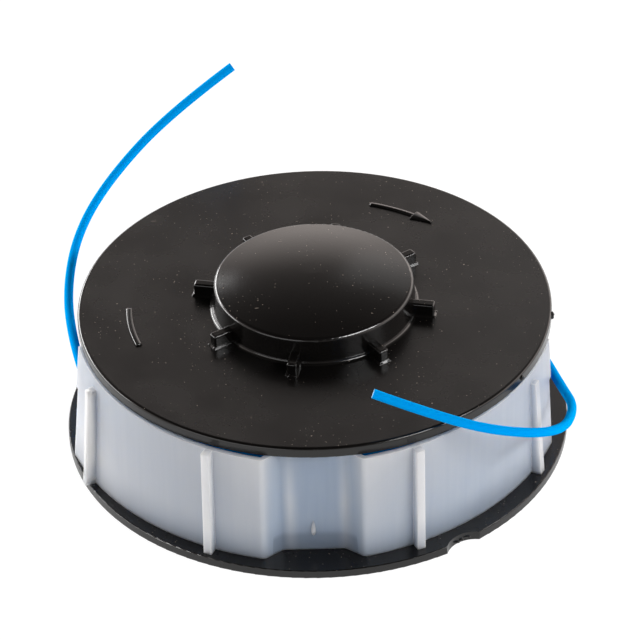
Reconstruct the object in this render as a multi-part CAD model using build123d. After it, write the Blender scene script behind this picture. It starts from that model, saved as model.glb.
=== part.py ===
# Twin-line spool for a grass trimmer, with its keeper ring, wound line and two free line ends.
# Millimetres. The spool's axis is Z, and the origin is on that axis at the spool's underside.
from build123d import *
import os
from math import asin, atan2, cos, degrees, pi, radians, sin, tan

# Spool, one moulding in black glass-filled nylon
spool_height = 25.0
bottom_flange_radius = 43.0
bottom_flange_thickness = 1.6
bottom_edge_round = 0.15
top_flange_radius = 40.25
top_flange_thickness = 1.8
top_edge_round = 0.45
drum_radius = 24.0
drum_wall = 2.0
web_thickness = 2.2
hub_foot_radius = 17.3
hub_rim_radius = 16.9
hub_rim_height = 4.9
hub_crown = 1.5
hub_wall = 2.0
hub_rim_round = 0.7
hub_foot_round = 0.5
tooth_count = 8
tooth_turn = -11.5
tooth_tip_radius = 20.7
tooth_width = 1.7
tooth_height = 2.4
tooth_round = 0.35
tooth_foot_flare = 0.3
tooth_root_depth = 1.0
notch_count = 2
notch_turn = 33.5
notch_radius = 4.8
notch_depth = 1.5
spindle_radius = 4.1
boss_wall = 2.4
boss_recess = 4.0

# Keeper ring, one thin moulding in natural polypropylene that stands on the bottom flange.
# Its two shells give a little, so that they lean: each reach past the top flange is given at the
# snap recess, at mid shell and at the line gap, and the shift and turn are those of foot and top
ring_wall = 0.9
ring_top_gap = 0.2
ring_foot_reach = (0.15, 0.0, 1.8)
ring_top_reach = (1.25, 0.35, 0.3)
ring_foot_shift = 0.85
ring_foot_turn = -0.5
ring_top_shift = 0.15
ring_top_turn = -1.3
snap_depth = 2.35
snap_floor_width = 10.4
snap_mouth_width = 16.6
snap_corner_round = 1.2
gap_half_angle = 13.5
strap_height = 8.0
strap_tuck = 0.75
lip_clearance = 0.2
rib_places = (0.2, 0.8)
rib_top_gaps = (0.2, 2.2)
rib_width = 1.4
rib_proud_foot = 1.7
rib_proud_tops = (1.4, 0.9)
rib_root_depth = 0.5

# Wound line and its free ends, nylon monofilament
line_diameter = 1.6
winding_margin = 4.25
turn_groove_depth = 0.6
turn_crest_width = 0.7
arc_share = 0.45

# Free line ends, from where each lies on the winding to its cut end
left_route = [
    (-33.1, -16.2, 9.8),
    (-38.4, -5.4, 10.3),
    (-41.7, 7.0, 12.8),
    (-43.1, 19.3, 15.1),
    (-41.3, 31.5, 19.1),
    (-35.4, 41.8, 23.7),
    (-24.6, 51.1, 30.8),
    (-13.3, 55.6, 37.3),
]
right_route = [
    (33.1, 16.2, 9.8),
    (38.4, 5.4, 10.3),
    (41.5, -9.1, 12.7),
    (43.2, -19.1, 15.7),
    (40.0, -32.1, 20.3),
    (28.2, -36.8, 24.9),
    (16.4, -36.0, 29.1),
    (9.1, -34.4, 31.5),
]

# Heights and radii that follow from the sizes above
chamber_floor = bottom_flange_thickness
chamber_roof = spool_height - top_flange_thickness
hub_rim_level = spool_height + hub_rim_height
hub_top_level = hub_rim_level + hub_crown
core_radius = drum_radius - drum_wall
core_roof = spool_height - web_thickness
hub_core_radius = hub_rim_radius - hub_wall
hub_core_roof = hub_rim_level - hub_wall
boss_radius = spindle_radius + boss_wall
ring_height = chamber_roof - ring_top_gap - chamber_floor
ring_top_level = chamber_floor + ring_height
strap_radius = top_flange_radius - strap_tuck
winding_radius = top_flange_radius - winding_margin


def polar(radius, angle):
    # Point in plan; angle 0 faces the front, -Y, and grows towards +X
    return (radius * sin(radians(angle)), -radius * cos(radians(angle)))


def four_ways(shape):
    # A shape of the right front quarter with its mirror images in the other three
    half = [shape, mirror(shape, Plane.YZ)]
    return half + [mirror(image, Plane.XZ) for image in half]


def corner(face, radius, height):
    # Vertex of a profile face that lies at this radius and height
    return face.vertices().sort_by_distance((radius, height, 0))[0]


def spool_section():
    # Half section of the turned body: both flanges, drum, domed hub, open core and spindle boss
    dome_radius = (hub_rim_radius**2 + hub_crown**2) / (2 * hub_crown)
    dome_angle = degrees(asin(hub_rim_radius / dome_radius))
    outside = Polyline(
        (core_radius, 0),
        (bottom_flange_radius, 0),
        (bottom_flange_radius, chamber_floor),
        (drum_radius, chamber_floor),
        (drum_radius, chamber_roof),
        (top_flange_radius, chamber_roof),
        (top_flange_radius, spool_height),
        (hub_foot_radius, spool_height),
        (hub_rim_radius, hub_rim_level),
    )
    dome = CenterArc((0, hub_top_level - dome_radius), dome_radius, 90 - dome_angle, dome_angle)
    inside = Polyline(
        (0, hub_top_level),
        (0, hub_core_roof),
        (spindle_radius, hub_core_roof),
        (spindle_radius, boss_recess),
        (boss_radius, boss_recess),
        (boss_radius, hub_core_roof),
        (hub_core_radius, hub_core_roof),
        (hub_core_radius, core_roof),
        (core_radius, core_roof),
        (core_radius, 0),
    )
    section = make_face([*outside.edges(), *dome.edges(), *inside.edges()])
    rim = corner(section, hub_rim_radius, hub_rim_level)
    section = fillet(rim, hub_rim_round)
    foot = corner(section, hub_foot_radius, spool_height)
    section = fillet(foot, hub_foot_round)
    top_edge = corner(section, top_flange_radius, spool_height)
    section = fillet(top_edge, top_edge_round)
    bottom_edges = [corner(section, bottom_flange_radius, level) for level in (0, chamber_floor)]
    return fillet(bottom_edges, bottom_edge_round)


def make_tooth():
    # One radial tooth: a block that grows out of the hub's wall, with its free edges rounded
    # and its foot flared onto the flange
    root_radius = hub_foot_radius - tooth_root_depth
    length = tooth_tip_radius - root_radius
    block = Box(length, tooth_width, tooth_height, align=(Align.MIN, Align.CENTER, Align.MIN))
    free_edges = block.edges().filter_by(Axis.Z).group_by(Axis.X)[-1] + block.edges().group_by(Axis.Z)[-1]
    tooth = fillet(free_edges, tooth_round)
    foot_length = length + tooth_foot_flare
    foot_width = tooth_width + 2 * tooth_foot_flare
    foot = Rectangle(foot_length, foot_width, align=(Align.MIN, Align.CENTER))
    tooth += extrude(foot, tooth_foot_flare, taper=45)
    return Pos(root_radius, 0, spool_height) * tooth


def make_spool():
    body = revolve(Plane.XZ * spool_section(), Axis.Z)
    tooth = make_tooth()
    for index in range(tooth_count):
        turn = tooth_turn - 90 + index * 360 / tooth_count
        body += Rot(0, 0, turn) * tooth
    notch_center = bottom_flange_radius - notch_depth + notch_radius
    cutter = Cylinder(notch_radius, bottom_flange_thickness, align=(Align.CENTER, Align.CENTER, Align.MIN))
    for index in range(notch_count):
        body -= Pos(*polar(notch_center, notch_turn + index * 360 / notch_count)) * cutter
    return body


def shell_arc(reach):
    # Right front quarter of a shell in plan, from the corner of the snap recess to just past the
    # edge of the line gap, where the shell turns in to the strap
    mouth_radius, middle_radius, end_radius = [top_flange_radius + part for part in reach]
    mouth_angle = degrees(asin(snap_mouth_width / 2 / mouth_radius))
    lip_angle = degrees((ring_wall + lip_clearance) / end_radius)
    end_angle = 90 - gap_half_angle + lip_angle
    middle_angle = (mouth_angle + end_angle) / 2
    mouth = polar(mouth_radius, mouth_angle)
    return ThreePointArc(mouth, polar(middle_radius, middle_angle), polar(end_radius, end_angle))


def ring_outline(reach):
    # Outside of the ring in plan: two shells, each with a snap recess at its middle,
    # and between them the straps that step in under the top flange at the line gaps
    shell = shell_arc(reach)
    mouth = shell @ 0
    shell_end = shell @ 1
    floor_corner = Vector(snap_floor_width / 2, mouth.Y + snap_depth)
    strap_start = shell_end * (strap_radius / shell_end.length)
    strap_middle = polar(strap_radius, 90 - gap_half_angle / 2)
    quarter = [
        *Polyline((0, floor_corner.Y), floor_corner, mouth).edges(),
        *shell.edges(),
        *Line(shell_end, strap_start).edges(),
        *ThreePointArc(strap_start, strap_middle, (strap_radius, 0)).edges(),
    ]
    outline = make_face([image for edge in quarter for image in four_ways(edge)])
    for across in (-1, 1):
        for along in (-1, 1):
            for point in (mouth, floor_corner):
                recess_corner = corner(outline, across * point.X, along * point.Y)
                outline = fillet(recess_corner, snap_corner_round)
    return outline


def ring_solid(foot, top, top_level):
    # Straight-sided body between an outline at the ring's foot and one higher up, each moved to its place
    low = Pos(-ring_foot_shift, 0, chamber_floor) * Rot(0, 0, ring_foot_turn) * foot
    high = Pos(-ring_top_shift, 0, top_level) * Rot(0, 0, ring_top_turn) * top
    return loft([low, high], ruled=True)


def rib_section(reach, place, proud):
    # Plan of a rib of the right front quarter: a bar that roots in the wall and stands proud of it
    point = shell_arc(reach) @ place
    bar = Rectangle(rib_root_depth + proud, rib_width, align=(Align.MIN, Align.CENTER))
    return Pos(point) * Rot(0, 0, degrees(atan2(point.Y, point.X))) * Pos(-rib_root_depth, 0) * bar


def make_ribs():
    # The eight upright ribs of the shells; those beside the line gaps are the shorter
    ribs = []
    for place, gap, proud_top in zip(rib_places, rib_top_gaps, rib_proud_tops):
        feet = four_ways(rib_section(ring_foot_reach, place, rib_proud_foot))
        tops = four_ways(rib_section(ring_top_reach, place, proud_top))
        ribs += [ring_solid(foot, top, ring_top_level - gap) for foot, top in zip(feet, tops)]
    return ribs


def make_windows():
    # Cutters for the two line gaps: sectors that lean with the shells and end under the straps
    reach = 2 * bottom_flange_radius
    edges = [polar(reach, 90 + half_angle) for half_angle in (-gap_half_angle, gap_half_angle)]
    right = make_face(Polyline((0, 0), *edges, close=True))
    left = mirror(right, Plane.YZ)
    window_height = ring_height - strap_height
    under_strap = Cylinder(reach, window_height, align=(Align.CENTER, Align.CENTER, Align.MIN))
    lower_part = Pos(0, 0, chamber_floor) * under_strap
    return [ring_solid(sector, sector, ring_top_level) & lower_part for sector in (right, left)]


def make_keeper_ring():
    foot = ring_outline(ring_foot_reach)
    top = ring_outline(ring_top_reach)
    ring = ring_solid(foot, top, ring_top_level)
    ring -= ring_solid(offset(foot, -ring_wall), offset(top, -ring_wall), ring_top_level)
    for window in make_windows():
        ring -= window
    for rib in make_ribs():
        ring += rib
    return ring


def make_winding():
    # The wound line as one solid, with a flat-topped ridge for each turn of its outer layer
    chamber = chamber_roof - chamber_floor
    turns = int(chamber / line_diameter)
    pitch = chamber / turns
    flank = (pitch - turn_crest_width) / 2
    groove_radius = winding_radius - turn_groove_depth
    points = [(groove_radius, chamber_roof), (drum_radius, chamber_roof), (drum_radius, chamber_floor)]
    for turn in range(turns):
        low = chamber_floor + turn * pitch
        points.append((groove_radius, low))
        points.append((winding_radius, low + flank))
        points.append((winding_radius, low + flank + turn_crest_width))
    return revolve(Plane.XZ * make_face(Polyline(*points, close=True)), Axis.Z)


def make_line_end(name, route):
    # Round line along straight runs that meet in the largest arcs that the runs leave room for
    points = [Vector(*point) for point in route]
    runs = [end - start for start, end in zip(points, points[1:])]
    radii = []
    for before, after in zip(runs, runs[1:]):
        half_turn = radians(before.get_angle(after)) / 2
        radii.append(arc_share * min(before.length, after.length) / tan(half_turn))
    path = FilletPolyline(*points, radius=radii)
    start = Plane(origin=points[0], z_dir=runs[0])
    tube = sweep(start * Circle(line_diameter / 2), path=path)
    section_volume = pi * line_diameter**2 / 4 * path.length
    print(name, "radii", [round(radius, 1) for radius in radii])
    print(name, "length", round(path.length, 1), "volume share", round(tube.volume / section_volume, 4))
    return tube


os.makedirs("parts", exist_ok=True)
nodes = {
    "spool": make_spool(),
    "keeper_ring": make_keeper_ring(),
    "line_winding": make_winding(),
    "line_end_left": make_line_end("line_end_left", left_route),
    "line_end_right": make_line_end("line_end_right", right_route),
}
for name, solid in nodes.items():
    export_step(solid, f"parts/{name}.step")
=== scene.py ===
# Trimmer line spool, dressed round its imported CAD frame. Metres, +Z up, -Y towards the viewer.
from math import pi, radians

import bpy
import numpy as np
from mathutils import Matrix, Vector


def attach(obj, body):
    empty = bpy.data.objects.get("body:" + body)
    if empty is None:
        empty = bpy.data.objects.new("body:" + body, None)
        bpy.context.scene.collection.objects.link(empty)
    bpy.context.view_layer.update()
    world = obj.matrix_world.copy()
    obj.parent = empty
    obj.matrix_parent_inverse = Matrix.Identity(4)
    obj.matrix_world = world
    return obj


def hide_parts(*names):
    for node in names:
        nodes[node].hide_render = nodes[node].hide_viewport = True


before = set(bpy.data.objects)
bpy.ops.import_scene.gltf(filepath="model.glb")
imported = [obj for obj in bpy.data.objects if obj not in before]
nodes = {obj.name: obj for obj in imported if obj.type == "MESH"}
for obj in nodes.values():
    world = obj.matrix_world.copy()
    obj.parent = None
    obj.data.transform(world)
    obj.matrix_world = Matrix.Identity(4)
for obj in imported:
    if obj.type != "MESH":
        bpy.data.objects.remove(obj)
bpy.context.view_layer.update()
scene = bpy.context.scene
mm = 0.001
print("frame:", ", ".join(sorted(nodes)))


def hexToLinear(colour):  # "#rrggbb" in sRGB to the linear values that sockets take
    s = np.array([int(colour[i:i + 2], 16) for i in (1, 3, 5)]) / 255
    linear = np.where(s <= 0.04045, s / 12.92, ((s + 0.055) / 1.055) ** 2.4)
    return (*linear.tolist(), 1.0)


def addNode(tree, kind, inputs=None, **settings):  # one node: its settings, then its values and links by socket
    node = tree.nodes.new(kind)
    for key, value in settings.items():
        setattr(node, key, value)
    for socket, source in (inputs or {}).items():
        if isinstance(source, bpy.types.NodeSocket):
            tree.links.new(source, node.inputs[socket])
        else:
            node.inputs[socket].default_value = source
    return node


def newMaterial(name):  # an empty node tree with its output
    material = bpy.data.materials.new(name)
    material.use_nodes = True
    material.node_tree.nodes.clear()
    return material, material.node_tree, addNode(material.node_tree, "ShaderNodeOutputMaterial")


def placeNodes(tree):  # a point's place on the piece, its distance from the axis and its height
    place = addNode(tree, "ShaderNodeTexCoord").outputs["Object"]
    flat = addNode(tree, "ShaderNodeVectorMath", {0: place, 1: (1, 1, 0)}, operation="MULTIPLY").outputs[0]
    radius = addNode(tree, "ShaderNodeVectorMath", {0: flat}, operation="LENGTH").outputs["Value"]
    return place, radius, addNode(tree, "ShaderNodeSeparateXYZ", {0: place}).outputs["Z"]


def addPiece(name, data, material, body="root"):  # a new piece on its body, with its finish
    piece = bpy.data.objects.new(name, data)
    scene.collection.objects.link(piece)
    data.materials.append(material)
    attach(piece, body)
    return piece


def gridMesh(name, points, closeU=False, closeV=False, caps=False):  # points (u, v, xyz) to a smooth quad mesh
    nu, nv = points.shape[:2]
    u = np.arange(nu if closeU else nu - 1)[:, None]
    v = np.arange(nv if closeV else nv - 1)[None, :]
    un, vn = (u + 1) % nu, (v + 1) % nv
    glowCorners = np.stack([u * nv + v, un * nv + v, un * nv + vn, u * nv + vn], -1).reshape(-1)
    starts = np.arange(0, glowCorners.size, 4)
    if caps:  # one flat face on the first ring and one on the last
        starts = np.append(starts, [glowCorners.size, glowCorners.size + nv])
        glowCorners = np.concatenate([glowCorners, np.arange(nv), (nu - 1) * nv + np.arange(nv)[::-1]])
    mesh = bpy.data.meshes.new(name)
    mesh.vertices.add(nu * nv)
    mesh.vertices.foreach_set("co", points.reshape(-1).astype(np.float32))
    mesh.loops.add(glowCorners.size)
    mesh.loops.foreach_set("vertex_index", glowCorners.astype(np.int32))
    mesh.polygons.add(starts.size)
    mesh.polygons.foreach_set("loop_start", starts.astype(np.int32))
    mesh.polygons.foreach_set("use_smooth", np.ones(starts.size, bool))
    mesh.update(calc_edges=True)
    mesh.validate()
    return mesh


# Camera at the photograph's angle, fitted to the rims of the two flanges
camera = {"target": (0, 0, 25.0 * mm), "distance": 0.8, "elevation": 35.93, "roll": -1.71,
          "lens": 265.2, "shiftX": 0.00875, "shiftY": -0.02547}
cameraData = bpy.data.cameras.new("camera")
cameraData.lens = camera["lens"]
cameraData.shift_x = camera["shiftX"]
cameraData.shift_y = camera["shiftY"]
cameraObject = bpy.data.objects.new("camera", cameraData)
scene.collection.objects.link(cameraObject)
tilt = Matrix.Rotation(radians(90 - camera["elevation"]), 4, "X")
turn = tilt @ Matrix.Rotation(radians(camera["roll"]), 4, "Z")
stand = Vector(camera["target"]) + turn @ Vector((0, 0, camera["distance"]))
cameraObject.matrix_world = Matrix.Translation(stand) @ turn
scene.camera = cameraObject
print("camera at", [round(x, 3) for x in cameraObject.location])

# Studio: a white floor that glows a little, a surround that is bright low down at the back,
# and soft boxes for the rims
studio = {"floorSize": 6.0, "floorLevel": -0.02 * mm, "floorColour": "#606060", "floorGlow": 0.95,
          "floorRoughness": 0.9, "floorShine": 0.1, "tint": (1.0, 0.90, 0.85),
          "surround": [(0.0, 1.45), (0.24, 2.40), (0.43, 1.28), (0.55, 0.31), (0.80, 0.05)],  # height, brightness
          "frontToBack": (-0.85, 0.15), "backShares": (0.12, 1),  # the surround is darker in front
          "leftToRight": (-0.5, 0.5), "sideShares": (0.75, 1.35)}  # and brighter on the right
softBoxes = [  # name, place, aimed at, width and height, power in watts
    ("leftBox", (-0.60, 0.69, 0.29), (0, 0, 0.02), (0.60, 0.26), 7.0),
    ("leftKicker", (-0.213, 0.768, 0.545), (0, 0, 0.03), (0.05, 0.05), 0.04),
    ("backPanel", (0.193, 0.773, 0.537), (0, 0, 0.02), (0.24, 0.20), 0.085),
    ("rightStrip", (0.62, -0.42, 0.60), (0, 0, 0.02), (0.58, 0.12), 6.4),
    ("leftFill", (-0.92, 0.26, 0.10), (0, 0, 0.02), (0.60, 0.20), 3.9),
    ("lowFill", (-0.60, -0.75, 0.14), (0, 0, 0.02), (0.90, 0.22), 1.8),
]
scene.view_settings.view_transform = "Standard"
world = bpy.data.worlds.new("surround")
scene.world = world
world.use_nodes = True
tree = world.node_tree
tree.nodes.clear()
outlook = addNode(tree, "ShaderNodeTexCoord").outputs["Generated"]
heading = addNode(tree, "ShaderNodeSeparateXYZ", {0: outlook}).outputs
fade = addNode(tree, "ShaderNodeValToRGB", {"Fac": heading["Z"]})
for index, (at, bright) in enumerate(studio["surround"]):
    stop = fade.color_ramp.elements[index] if index < 2 else fade.color_ramp.elements.new(at)
    stop.position, stop.color = at, (*[bright * part for part in studio["tint"]], 1)
backward = addNode(tree, "ShaderNodeMapRange", {
    "Value": heading["Y"], "From Min": studio["frontToBack"][0], "From Max": studio["frontToBack"][1],
    "To Min": studio["backShares"][0], "To Max": studio["backShares"][1]},
    interpolation_type="SMOOTHSTEP").outputs[0]
sideways = addNode(tree, "ShaderNodeMapRange", {
    "Value": heading["X"], "From Min": studio["leftToRight"][0], "From Max": studio["leftToRight"][1],
    "To Min": studio["sideShares"][0], "To Max": studio["sideShares"][1]}).outputs[0]
shares = addNode(tree, "ShaderNodeMath", {0: backward, 1: sideways}, operation="MULTIPLY").outputs[0]
surround = addNode(tree, "ShaderNodeBackground", {"Color": fade.outputs[0], "Strength": shares})
addNode(tree, "ShaderNodeOutputWorld", {"Surface": surround.outputs[0]})
for name, place, aim, (width, height), power in softBoxes:
    light = bpy.data.lights.new(name, "AREA")
    light.shape = "RECTANGLE"
    light.size, light.size_y, light.energy = width, height, power
    lamp = bpy.data.objects.new(name, light)
    scene.collection.objects.link(lamp)
    lamp.location = place
    lamp.rotation_euler = (Vector(aim) - Vector(place)).to_track_quat("-Z", "Y").to_euler()
paper, tree, out = newMaterial("white_backdrop_paper")
shader = addNode(tree, "ShaderNodeBsdfPrincipled", {
    "Base Color": hexToLinear(studio["floorColour"]), "Roughness": studio["floorRoughness"],
    "Specular IOR Level": studio["floorShine"],
    "Emission Color": (1, 1, 1, 1), "Emission Strength": studio["floorGlow"]})
tree.links.new(shader.outputs[0], out.inputs["Surface"])
edge = np.array([-0.5, 0.5]) * studio["floorSize"]
points = np.stack([*np.meshgrid(edge, edge, indexing="ij"), np.full((2, 2), studio["floorLevel"])], -1)
floor = bpy.data.objects.new("floor", gridMesh("floor", points))
floor.data.materials.append(paper)
scene.collection.objects.link(floor)
print("studio:", len(softBoxes), "soft boxes")

# Spool: glass-filled nylon, moulded; a satin black with a fine grain, glossier on the tap dome, dusty on top
spoolFinish = {"colour": "#070606", "haze": "#0d0c0b", "patches": 9 * mm, "patchy": (0.3, 0.7),
               "ior": 1.53, "shine": 0.42, "roughness": (0.23, 0.30), "polish": 0.16,
               "flangeTop": 25.05 * mm, "topEase": 0.1 * mm,  # polished above the flange and on its edge
               "flangeRadius": 39.8 * mm, "edgeEase": 0.2 * mm,
               "grain": 0.28 * mm, "grainDepth": 0.014 * mm, "grainShare": 0.5}
dustFinish = {"colour": "#9c9186", "settles": (0.6, 0.9),  # on faces that look up at least this much
              "clusters": 11 * mm, "clustered": (0.42, 0.68), "crowd": (0.15, 1.6),
              "sizes": (0.5, 1.2), "faintest": 0.15,
              "specks": [  # spacing in mm, length and width in mm, turn in degrees, share of the places taken
                  (1.1, 0.065, 0.065, 0, 0.28), (2.3, 0.10, 0.10, 20, 0.24),
                  (3.4, 0.40, 0.05, 35, 0.14), (3.9, 0.45, 0.05, 110, 0.14)]}
nylon, tree, out = newMaterial("glass_filled_nylon_black")
place, radius, height = placeNodes(tree)
pastEdge = addNode(tree, "ShaderNodeMapRange", {
    "Value": radius, "From Min": spoolFinish["flangeRadius"] - spoolFinish["edgeEase"],
    "From Max": spoolFinish["flangeRadius"]}).outputs[0]
onTop = addNode(tree, "ShaderNodeMath", {0: height, 1: spoolFinish["flangeTop"] / 2},
                operation="GREATER_THAN").outputs[0]
atEdge = addNode(tree, "ShaderNodeMath", {0: pastEdge, 1: onTop}, operation="MULTIPLY").outputs[0]
aboveFlange = addNode(tree, "ShaderNodeMapRange", {
    "Value": height, "From Min": spoolFinish["flangeTop"],
    "From Max": spoolFinish["flangeTop"] + spoolFinish["topEase"]}).outputs[0]
polished = addNode(tree, "ShaderNodeMath", {0: atEdge, 1: aboveFlange}, operation="MAXIMUM").outputs[0]
grain, patches, clusters = (
    addNode(tree, "ShaderNodeTexNoise", {"Vector": place, "Scale": 1 / size, "Detail": detail}).outputs[0]
    for size, detail in ((spoolFinish["grain"], 2), (spoolFinish["patches"], 4), (dustFinish["clusters"], 2)))
satin = addNode(tree, "ShaderNodeMapRange", {
    "Value": patches, "From Min": spoolFinish["patchy"][0], "From Max": spoolFinish["patchy"][1],
    "To Min": spoolFinish["roughness"][0], "To Max": spoolFinish["roughness"][1]}).outputs[0]
gloss = addNode(tree, "ShaderNodeMix", {"Factor": polished, "A": satin, "B": spoolFinish["polish"]}).outputs[0]
facing = addNode(tree, "ShaderNodeTexCoord").outputs["Normal"]
upward = addNode(tree, "ShaderNodeSeparateXYZ", {0: facing}).outputs["Z"]
settled = addNode(tree, "ShaderNodeMapRange", {
    "Value": upward, "From Min": dustFinish["settles"][0], "From Max": dustFinish["settles"][1]}).outputs[0]
crowd = addNode(tree, "ShaderNodeMapRange", {
    "Value": clusters, "From Min": dustFinish["clustered"][0], "From Max": dustFinish["clustered"][1],
    "To Min": dustFinish["crowd"][0], "To Max": dustFinish["crowd"][1]}).outputs[0]
dusty = 0.0
for spacing, length, width, turn, share in dustFinish["specks"]:  # cells in the plane, a speck amid some of them
    laid = addNode(tree, "ShaderNodeMapping", {
        "Vector": place, "Rotation": (0, 0, radians(turn)),
        "Scale": (width / length / (spacing * mm), 1 / (spacing * mm), 1)}).outputs[0]
    cells = addNode(tree, "ShaderNodeTexVoronoi", {"Vector": laid, "Scale": 1}, voronoi_dimensions="2D")
    chance = addNode(tree, "ShaderNodeSeparateColor", {0: cells.outputs["Color"]}).outputs
    least, most = (part * width / spacing for part in dustFinish["sizes"])
    size = addNode(tree, "ShaderNodeMapRange", {"Value": chance[1], "To Min": least, "To Max": most}).outputs[0]
    dot = addNode(tree, "ShaderNodeMath", {0: cells.outputs["Distance"], 1: size}, operation="LESS_THAN").outputs[0]
    taken = addNode(tree, "ShaderNodeMath", {0: crowd, 1: share}, operation="MULTIPLY").outputs[0]
    chosen = addNode(tree, "ShaderNodeMath", {0: chance[0], 1: taken}, operation="LESS_THAN").outputs[0]
    pale = addNode(tree, "ShaderNodeMapRange", {
        "Value": chance[2], "To Min": dustFinish["faintest"], "To Max": 1}).outputs[0]
    dim = addNode(tree, "ShaderNodeMath", {0: dot, 1: pale}, operation="MULTIPLY").outputs[0]
    speck = addNode(tree, "ShaderNodeMath", {0: dim, 1: chosen}, operation="MULTIPLY").outputs[0]
    dusty = addNode(tree, "ShaderNodeMath", {0: dusty, 1: speck}, operation="MAXIMUM").outputs[0]
dusty = addNode(tree, "ShaderNodeMath", {0: dusty, 1: settled}, operation="MULTIPLY").outputs[0]
colour = hexToLinear(spoolFinish["colour"])
for share, tone in ((patches, spoolFinish["haze"]), (dusty, dustFinish["colour"])):
    colour = addNode(tree, "ShaderNodeMix", {0: share, 6: colour, 7: hexToLinear(tone)},
                     data_type="RGBA").outputs[2]
bump = addNode(tree, "ShaderNodeBump", {
    "Height": grain, "Strength": spoolFinish["grainShare"], "Distance": spoolFinish["grainDepth"]}).outputs[0]
shader = addNode(tree, "ShaderNodeBsdfPrincipled", {
    "Base Color": colour, "Roughness": gloss, "IOR": spoolFinish["ior"], "Normal": bump,
    "Specular IOR Level": spoolFinish["shine"]})
tree.links.new(shader.outputs[0], out.inputs["Surface"])
nodes["spool"].data.materials.clear()
nodes["spool"].data.materials.append(nylon)
print("spool: nylon")

# Raised marks on the flange: a plain arrow and a bar, flat-topped strips swept along an arc about the axis
marks = {"level": 24.98, "height": 0.30, "steps": 40,
         "profile": [(-1.0, 0.0), (-1.0, 0.65), (-0.8, 1.0), (0.8, 1.0), (1.0, 0.65), (1.0, 0.0)],  # across, up
         "arrow": {"radius": 30.8, "angles": [160.5, 146.0, 145.0, 144.9, 137.8],
                   "half": [0.42, 0.42, 0.42, 1.25, 0.08]},
         "bar": {"radius": 31.45, "angles": [-90.0, -70.5], "half": [0.5, 0.5]}}
across, up = np.array(marks["profile"]).T
for name in ("arrow", "bar"):
    mark = marks[name]
    first, last = mark["angles"][0], mark["angles"][-1]
    order = np.sign(last - first)
    steps = np.linspace(0, 1, marks["steps"]) * (last - first) + first
    angles = np.unique(np.concatenate([steps, mark["angles"]]))[::int(order)]
    half = np.interp(angles * order, np.array(mark["angles"]) * order, mark["half"])
    reach = mark["radius"] - order * half[:, None] * across  # the strip's edges lie half a width either side
    rise = marks["level"] + marks["height"] * np.broadcast_to(up, reach.shape)
    swing = np.radians(angles)[:, None]
    points = np.stack([reach * np.sin(swing), -reach * np.cos(swing), rise], -1) * mm
    addPiece(name + "Mark", gridMesh(name + "Mark", points, closeV=True, caps=True), nylon)
print("marks: arrow and bar")

# Fillet at the hub's foot: a hollow quarter round turned about the axis, closed inside the moulding
fillet = {"wall": 17.28, "floor": 24.98, "round": 0.65, "sunk": 0.12, "around": 180, "steps": 10}
bend = np.linspace(pi, 1.5 * pi, fillet["steps"])
hollow = np.stack([fillet["wall"] + fillet["round"] * (1 + np.cos(bend)),
                   fillet["floor"] + fillet["round"] * (1 + np.sin(bend))], -1)
innerWall, innerFloor = fillet["wall"] - fillet["sunk"], fillet["floor"] - fillet["sunk"]
inside = [(hollow[-1, 0], innerFloor), (innerWall, innerFloor), (innerWall, hollow[0, 1])]
reach, rise = np.concatenate([hollow, inside]).T
around = np.linspace(0, 2 * pi, fillet["around"], endpoint=False)[:, None]
points = np.stack([reach * np.sin(around), -reach * np.cos(around), rise + 0 * around], -1) * mm
addPiece("hubFillet", gridMesh("hubFillet", points[::-1], closeU=True, closeV=True), nylon)
print("fillet: one turned strip")

# Burrs left on the flanges' edges: small ellipsoids whose radius waves a little, half sunk in the moulding
burrShape = {"rows": 14, "around": 20, "pole": 0.49, "wave": 0.16, "waves": (3, 5)}
burrs = [  # place and half sizes in mm
    ((40.15, -4.0, 24.0), (0.35, 0.50, 0.75)), ((34.05, -21.5, 24.15), (0.40, 0.35, 0.50)),
    ((-0.8, -40.1, 24.75), (0.14, 0.14, 0.14)), ((-0.2, -40.1, 24.75), (0.14, 0.14, 0.14)),
    ((22.5, -36.35, 1.6), (0.55, 0.30, 0.28)), ((23.3, -35.75, 1.6), (0.40, 0.35, 0.32)),
    ((24.3, -35.05, 1.6), (0.60, 0.28, 0.25))]
crumbs = {"teeth": 8, "turn": -11.5, "tip": 20.75, "apart": 0.7, "level": 25.05, "half": (0.32, 0.32, 0.22)}
for tooth in range(crumbs["teeth"]):  # a crumb of flash at both corners of each tooth's foot
    swing = radians(crumbs["turn"] + 360 / crumbs["teeth"] * tooth)
    for side in (-1, 1):
        x, y = crumbs["tip"], side * crumbs["apart"]
        corner = (x * np.sin(swing) + y * np.cos(swing), y * np.sin(swing) - x * np.cos(swing), crumbs["level"])
        burrs.append((corner, crumbs["half"]))
rise = np.linspace(-burrShape["pole"], burrShape["pole"], burrShape["rows"])[:, None] * pi
turn = np.linspace(0, 2 * pi, burrShape["around"], endpoint=False)[None, :]
wave = 1 + burrShape["wave"] * np.sin(burrShape["waves"][0] * turn + burrShape["waves"][1] * rise) * np.cos(rise)
ball = np.stack([wave * np.cos(rise) * np.cos(turn), wave * np.cos(rise) * np.sin(turn),
                 np.sin(rise) + 0 * turn], -1)
for index, (at, half) in enumerate(burrs):
    name, points = f"burr{index}", (ball[::-1] * half + at) * mm
    addPiece(name, gridMesh(name, points, closeV=True, caps=True), nylon)
print("burrs:", len(burrs))
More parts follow.
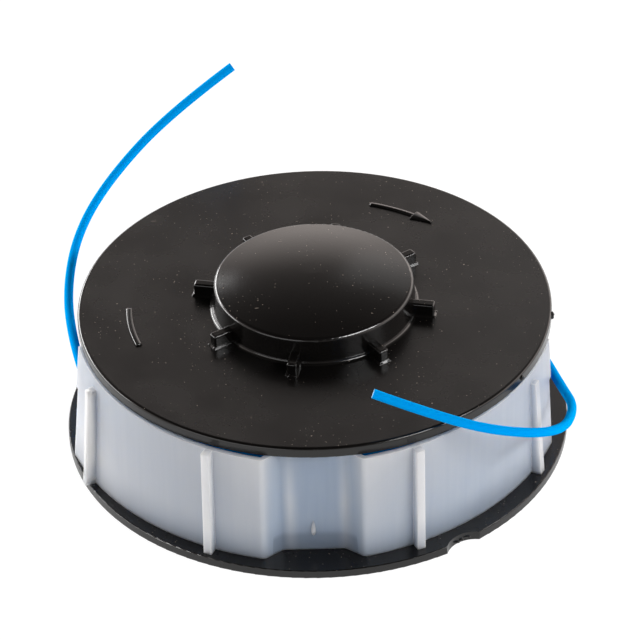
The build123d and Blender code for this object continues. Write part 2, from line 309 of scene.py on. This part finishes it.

# Keeper ring: natural polypropylene, moulded as a thin milky wall with fine streaks; painted light: bluer where the
# wound line shows through, painted shade low down, painted glow at the recess corners and painted highlights along
# its edges
# painted light: the wall is drawn bluer towards the drum, where the wound line shows through, and white out on the
# ribs and ends
ringFinish = {"throughLightByRadius": [(38.2, "#a8b8cd"), (39.4, "#b1c0d3"), (40.2, "#c0cad8"),
                           (41.0, "#d0d5dd"), (41.8, "#f5f6f8"), (42.5, "#ffffff")],  # mm from the axis, tone
              "roughness": 0.42, "ior": 1.49, "clear": 0.40, "depth": 2.5 * mm,
              "edge": 0.30 * mm, "streakAndHighlightColour": "#ffffff", "highlightEdgeTurn": (0.98, 0.80),
              "streak": (1.3 * mm, 1.3 * mm, 34 * mm), "streaky": (0.35, 0.75), "streakShare": 0.085,
              "recessRadius": 39.3 * mm, "paintedShadeBand": (4.4 * mm, 6.2 * mm), "paintedShadeColour": "#8d9bae",
              "paintedShadePanel": (1.8 * mm, 9.0 * mm), "panelShadeShare": 0.45,
              "glowCorners": (2.8 * mm, 4.7 * mm, 5.9 * mm), "cornerMiddle": -0.5 * mm, "cornerGlowShare": 0.45,
              "cornerFoot": (2 * mm, 11 * mm), "cornerTop": (13 * mm, 21 * mm), "cornerLeast": 0.35}
milky, tree, out = newMaterial("natural_polypropylene")
place, radius, height = placeNodes(tree)
nearest, farthest = (ringFinish["throughLightByRadius"][end][0] * mm for end in (0, -1))
share = addNode(tree, "ShaderNodeMapRange", {"Value": radius, "From Min": nearest, "From Max": farthest}).outputs[0]
# painted light: tone by distance from the axis
throughLightTones = addNode(tree, "ShaderNodeValToRGB", {"Fac": share})
for index, (at, tone) in enumerate(ringFinish["throughLightByRadius"]):
    stop = throughLightTones.color_ramp.elements[index] if index < 2 else throughLightTones.color_ramp.elements.new(1)
    stop.position, stop.color = (at * mm - nearest) / (farthest - nearest), hexToLinear(tone)
drawn = addNode(tree, "ShaderNodeMapping", {
    "Vector": place, "Scale": [1 / step for step in ringFinish["streak"]]}).outputs[0]
streaks = addNode(tree, "ShaderNodeTexNoise", {"Vector": drawn, "Scale": 1, "Detail": 3}).outputs[0]
streaky = addNode(tree, "ShaderNodeMapRange", {
    "Value": streaks, "From Min": ringFinish["streaky"][0], "From Max": ringFinish["streaky"][1],
    "To Min": 0, "To Max": ringFinish["streakShare"]}).outputs[0]
paintedShadeFloor, paintedShadePanel = (  # painted shade: greyer towards the foot, most on the recess floor
    addNode(tree, "ShaderNodeMapRange", {
        "Value": height, "From Min": ringFinish[key][0], "From Max": ringFinish[key][1],
        "To Min": most, "To Max": 0}, interpolation_type="SMOOTHSTEP").outputs[0]
    for key, most in (("paintedShadeBand", 1), ("paintedShadePanel", ringFinish["panelShadeShare"])))
inRecess = addNode(tree, "ShaderNodeMath", {0: radius, 1: ringFinish["recessRadius"]},
                   operation="LESS_THAN").outputs[0]
paintedShadeFloor = addNode(tree, "ShaderNodeMath", {0: paintedShadeFloor, 1: inRecess}, operation="MULTIPLY").outputs[0]
# painted shade: the darker of the recess floor and the lower wall
paintedShade = addNode(tree, "ShaderNodeMath", {0: paintedShadeFloor, 1: paintedShadePanel}, operation="MAXIMUM").outputs[0]
sideways = addNode(tree, "ShaderNodeSeparateXYZ", {0: place}).outputs["X"]
across = addNode(tree, "ShaderNodeMath", {0: sideways, 1: ringFinish["cornerMiddle"]},
                 operation="SUBTRACT").outputs[0]
fromMiddle = addNode(tree, "ShaderNodeMath", {0: across}, operation="ABSOLUTE").outputs[0]
inner, peak, outer = ringFinish["glowCorners"]
least = ringFinish["cornerLeast"]
# painted glow: pale bands either side of the recess middle, fading towards the foot and the top
corner = addNode(tree, "ShaderNodeMapRange", {
    "Value": fromMiddle, "From Min": inner, "From Max": peak, "To Max": ringFinish["cornerGlowShare"]},
    interpolation_type="SMOOTHSTEP").outputs[0]
ending = addNode(tree, "ShaderNodeMapRange", {
    "Value": fromMiddle, "From Min": peak, "From Max": outer, "To Min": 1, "To Max": 0}).outputs[0]
fromFoot, fromTop = (
    addNode(tree, "ShaderNodeMapRange", {
        "Value": height, "From Min": ringFinish[key][0], "From Max": ringFinish[key][1],
        "To Min": low, "To Max": high}).outputs[0]
    for key, low, high in (("cornerFoot", least, 1), ("cornerTop", 1, least)))
for part in (ending, fromFoot, fromTop, inRecess):  # painted glow: the recess floor's corners are thicker and drawn paler
    corner = addNode(tree, "ShaderNodeMath", {0: corner, 1: part}, operation="MULTIPLY").outputs[0]
eased = addNode(tree, "ShaderNodeBevel", {"Radius": ringFinish["edge"]}, samples=6).outputs[0]  # the eased edges
facing = addNode(tree, "ShaderNodeNewGeometry").outputs["True Normal"]
along = addNode(tree, "ShaderNodeVectorMath", {0: eased, 1: facing}, operation="DOT_PRODUCT").outputs["Value"]
# painted highlight: the eased edges are drawn white
paintedEdgeHighlight = addNode(tree, "ShaderNodeMapRange", {
    "Value": along, "From Min": ringFinish["highlightEdgeTurn"][0], "From Max": ringFinish["highlightEdgeTurn"][1]}).outputs[0]
wall = throughLightTones.outputs[0]
# streaks, then painted shade, painted corner glow and painted edge highlights mixed over the tone
for share, key in ((streaky, "streakAndHighlightColour"), (paintedShade, "paintedShadeColour"), (corner, "streakAndHighlightColour"), (paintedEdgeHighlight, "streakAndHighlightColour")):
    wall = addNode(tree, "ShaderNodeMix", {0: share, 6: wall, 7: hexToLinear(ringFinish[key])},
                   data_type="RGBA").outputs[2]
shader = addNode(tree, "ShaderNodeBsdfPrincipled", {
    "Base Color": wall, "Roughness": ringFinish["roughness"], "IOR": ringFinish["ior"], "Normal": eased,
    "Transmission Weight": ringFinish["clear"], "Subsurface Weight": 1.0, "Subsurface Radius": (1, 1, 1),
    "Subsurface Scale": ringFinish["depth"]})
tree.links.new(shader.outputs[0], out.inputs["Surface"])
nodes["keeper_ring"].data.materials.clear()
nodes["keeper_ring"].data.materials.append(milky)
print("keeper ring: polypropylene")

# Left front rib: a wedge that makes it stand as proud on top as at its foot; a bar with eased corners, foot to top
ribWedge = {"angle": -66.05, "half": 0.70, "ease": 0.08, "levels": (2.3, 20.55), "reach": (43.5, 42.2),
            "root": (41.4, 40.4), "steps": 12}
rise = np.linspace(0, 1, ribWedge["steps"])
level, reach, root = (np.interp(rise, (0, 1), ribWedge[key])[:, None] for key in ("levels", "reach", "root"))
half, ease = ribWedge["half"], ribWedge["ease"]
side = np.array([[half - ease, half, half, half - ease, ease - half, -half, -half, ease - half]])
outward = np.concatenate([root, root + ease, reach - ease, reach, reach, reach - ease, root + ease, root], 1)
swing = radians(ribWedge["angle"])
points = np.stack([outward * np.sin(swing) + side * np.cos(swing), side * np.sin(swing) - outward * np.cos(swing),
                   level + 0 * outward], -1) * mm
addPiece("ribWedge", gridMesh("ribWedge", points, closeV=True, caps=True), milky)
print("rib wedge: one bar")

# Gate mark in the front recess: a drop of revolution about an upright line, wide low down
# and drawn out to a point on top
gateMark = {"place": (-1.26, -37.44, 4.7), "height": 3.9, "half": 0.42, "depth": 0.6, "swell": 2.6, "taper": 1.3,
            "point": 0.02, "rows": 25, "around": 24, "colour": "#fbfdff"}
rise = np.linspace(0, 1, gateMark["rows"])[:, None]
turn = np.linspace(0, 2 * pi, gateMark["around"], endpoint=False)[None, :]
swell = gateMark["swell"] * np.sqrt(rise) * (1 - rise) ** gateMark["taper"] + gateMark["point"]
half = gateMark["half"] * swell  # half width along the drop
points = np.stack([half * np.cos(turn), half * gateMark["depth"] * np.sin(turn),
                   gateMark["height"] * rise + 0 * turn], -1)
points = (points[::-1] + gateMark["place"]) * mm
thick = milky.copy()  # the same plastic where it is thicker, so whiter
thick.name = "natural_polypropylene_thick"
body = next(node for node in thick.node_tree.nodes if node.type == "BSDF_PRINCIPLED")
thick.node_tree.links.remove(body.inputs["Base Color"].links[0])
body.inputs["Base Color"].default_value = hexToLinear(gateMark["colour"])
addPiece("gateMark", gridMesh("gateMark", points, closeV=True, caps=True), thick)
print("gate mark: one drop")

# Free line ends: stiff line from the winding, out through the ring's gaps; the routes are the part's own, in mm
lineEnds = {
    "diameter": 1.6, "bevelSteps": 6, "stepsAlong": 16,
    "left": [(-33.1, -16.2, 9.8), (-38.4, -5.4, 10.3), (-41.7, 7.0, 12.8), (-43.1, 19.3, 15.1),
             (-41.3, 31.5, 19.1), (-35.4, 41.8, 23.7), (-24.6, 51.1, 30.8), (-13.3, 55.6, 37.3)],
    "right": [(33.1, 16.2, 9.8), (38.4, 5.4, 10.3), (41.5, -9.1, 12.7), (43.2, -19.1, 15.7),
              (40.0, -32.1, 20.3), (28.2, -36.8, 24.9), (16.4, -36.0, 29.1), (9.1, -34.4, 31.5)],
    "lengthLeft": 92.7, "lengthRight": 84.5,
}

# Line: nylon monofilament, drawn smooth; an even bright blue, lit a little from within, pale where it is cut
lineFinish = {"colour": "#0094e2", "cutColour": "#9fd0f6", "cutDepth": 0.04 * mm, "roughness": 0.45, "ior": 1.53,
              "shine": 0.0, "scatter": 0.25, "depth": 0.8 * mm}
filament, tree, out = newMaterial("nylon_monofilament_blue")
place = addNode(tree, "ShaderNodeTexCoord").outputs["Object"]
colour = hexToLinear(lineFinish["colour"])
for side in ("left", "right"):
    before, tip = (Vector(lineEnds[side][index]) * mm for index in (-2, -1))
    ahead = (tip - before).normalized()
    fromTip = addNode(tree, "ShaderNodeVectorMath", {0: place, 1: tip}, operation="SUBTRACT").outputs[0]
    beyond = addNode(tree, "ShaderNodeVectorMath", {0: fromTip, 1: ahead}, operation="DOT_PRODUCT").outputs["Value"]
    apart = addNode(tree, "ShaderNodeVectorMath", {0: fromTip}, operation="LENGTH").outputs["Value"]
    atEnd = addNode(tree, "ShaderNodeMath", {0: beyond, 1: -lineFinish["cutDepth"]},
                    operation="GREATER_THAN").outputs[0]
    closeBy = addNode(tree, "ShaderNodeMath", {0: apart, 1: lineEnds["diameter"] * mm},
                      operation="LESS_THAN").outputs[0]
    cut = addNode(tree, "ShaderNodeMath", {0: atEnd, 1: closeBy}, operation="MULTIPLY").outputs[0]
    colour = addNode(tree, "ShaderNodeMix", {0: cut, 6: colour, 7: hexToLinear(lineFinish["cutColour"])},
                     data_type="RGBA").outputs[2]
shader = addNode(tree, "ShaderNodeBsdfPrincipled", {
    "Base Color": colour, "Roughness": lineFinish["roughness"], "IOR": lineFinish["ior"],
    "Specular IOR Level": lineFinish["shine"], "Subsurface Weight": lineFinish["scatter"],
    "Subsurface Radius": (1, 1, 1), "Subsurface Scale": lineFinish["depth"]})
tree.links.new(shader.outputs[0], out.inputs["Surface"])
for side in ("left", "right"):
    route = np.array(lineEnds[side]) * mm
    curve = bpy.data.curves.new("lineEnd_" + side, "CURVE")
    curve.dimensions = "3D"
    curve.bevel_depth = lineEnds["diameter"] / 2 * mm
    curve.bevel_resolution = lineEnds["bevelSteps"]
    curve.resolution_u = lineEnds["stepsAlong"]
    curve.use_fill_caps = True
    spline = curve.splines.new("NURBS")
    spline.points.add(len(route) - 1)
    spline.points.foreach_set("co", np.column_stack([route, np.ones(len(route))]).reshape(-1))
    spline.order_u = 3
    spline.use_endpoint_u = True
    piece = addPiece("lineEnd_" + side, curve, filament)
    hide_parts("line_end_" + side)
print("line ends: left and right")

# Wound line: a surface of revolution whose radius follows the helix of the outer turns, closed on the drum
winding = {"turns": 13, "outer": 36.0, "slack": 0.2, "drum": 24.02, "bottom": 1.62, "top": 23.18,
           "around": 240, "perTurn": 10, "valley": 0.02,
           "wobbles": [(0.12, 2, 9), (0.08, 5, -23)], "wobbleShare": 0.9}  # mm, waves round, radians up the drum
around = np.linspace(0, 2 * pi, winding["around"], endpoint=False)[:, None]
along = np.linspace(0, 1, winding["turns"] * winding["perTurn"] + 1)[None, :]
phase = (along * winding["turns"] + around / (2 * pi)) % 1  # where each point lies across its own turn
tall = winding["top"] - winding["bottom"]
pitch = tall / winding["turns"]
wobble = sum(size * np.sin(around * times + along * shift) for size, times, shift in winding["wobbles"])
bulge = np.sqrt(np.clip(1 - (2 * phase - 1) ** 2, winding["valley"], 1)) * pitch / 2
reach = winding["outer"] - winding["slack"] - pitch / 2 + bulge + wobble * winding["wobbleShare"]
heights = np.broadcast_to(winding["bottom"] + along * tall, reach.shape)
outer = np.stack([reach * np.sin(around), -reach * np.cos(around), heights], -1)
drumRows = [np.stack([winding["drum"] * np.sin(around), -winding["drum"] * np.cos(around),
                      np.full_like(around, level)], -1) for level in (winding["top"], winding["bottom"])]
points = np.concatenate([outer, *drumRows], 1) * mm
turns = addPiece("woundLine", gridMesh("woundLine", points, True, True), filament)
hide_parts("line_winding")
print("wound line:", len(turns.data.polygons), "faces")
